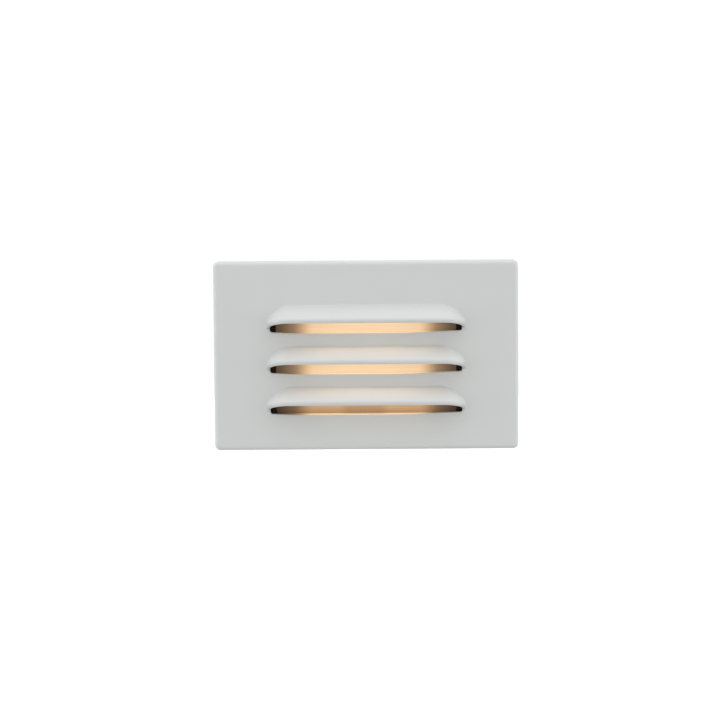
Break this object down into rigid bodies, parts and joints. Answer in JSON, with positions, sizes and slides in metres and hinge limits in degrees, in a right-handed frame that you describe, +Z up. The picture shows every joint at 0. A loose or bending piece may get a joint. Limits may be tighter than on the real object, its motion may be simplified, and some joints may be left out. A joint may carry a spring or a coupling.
{
  "type": "step light",
  "caption": "White rectangular louvred step light for a wall box: hooded faceplate on a mounting frame, frosted lens, and a wedge-base lamp in a housing behind.",
  "frame": {"origin": "middle of the device box screw pair, in the plane of the wall", "axes": "+X along the plate to the right as seen from the front, +Y into the wall, +Z up"},
  "size_m": [0.1174, 0.0653, 0.073],
  "materials": {
    "white_powder_coat": "fine satin powder coat",
    "black_silicone": "matt silicone sheet",
    "frosted_glass": "acid-frosted",
    "spring_steel": "rolled spring strip",
    "plated_screw": "bright zinc",
    "black_screw": "black oxide",
    "foam_rubber": "closed-cell foam",
    "zinc_sheet": "zinc-plated sheet",
    "housing_aluminium": "drawn, satin",
    "rivet_aluminium": "bright",
    "brushed_reflector": "brushed",
    "white_ceramic": "unglazed steatite, off-white",
    "contact_brass": "bright brass",
    "black_insulation": "smooth silicone insulation",
    "white_insulation": "smooth silicone insulation",
    "cream_plastic": "moulded",
    "bushing_rubber": "moulded",
    "lamp_glass": "clear",
    "lamp_wire": "drawn wire"
  },
  "bodies": {
    "root": {"wall_gasket": "foam_rubber", "mounting_frame": "zinc_sheet", "lamp_housing": "housing_aluminium", "housing_rivets": "rivet_aluminium", "reflector": "brushed_reflector", "reflector_rivets": "rivet_aluminium", "socket_bracket": "zinc_sheet", "bracket_rivets": "rivet_aluminium", "lamp_socket": "white_ceramic", "socket_contacts": "contact_brass", "lead_live": "black_insulation", "lead_return": "white_insulation", "terminal_block": "cream_plastic", "terminal_clamps": "contact_brass", "terminal_screws": "plated_screw", "terminal_block_screw": "plated_screw", "cable_bushing": "bushing_rubber"},
    "cover": {"faceplate": "white_powder_coat", "lens_gasket": "black_silicone", "lens": "frosted_glass", "lens_clip_upper": "spring_steel", "lens_clip_lower": "spring_steel", "lens_clip_screws": "plated_screw"},
    "set_screw_left": {"set_screw_left": "black_screw"},
    "set_screw_right": {"set_screw_right": "black_screw"},
    "lamp": {"lamp_envelope": "lamp_glass", "lamp_filament": "lamp_wire", "lamp_supports": "lamp_wire", "lamp_lead_wires": "lamp_wire"}
  },
  "joints": [
    {"name": "cover_pull", "type": "slide", "parent": "root", "child": "cover", "axis": [0, -1, 0], "range_m": [0, 0.025]},
    {"name": "set_screw_left_travel", "type": "slide", "parent": "cover", "child": "set_screw_left", "axis": [0, 0, -1], "range_m": [0, 0.0015]},
    {"name": "set_screw_right_travel", "type": "slide", "parent": "cover", "child": "set_screw_right", "axis": [0, 0, -1], "range_m": [0, 0.0015]},
    {"name": "lamp_pull", "type": "slide", "parent": "root", "child": "lamp", "axis": [0, 0, 1], "range_m": [0, 0.009]}
  ]
}
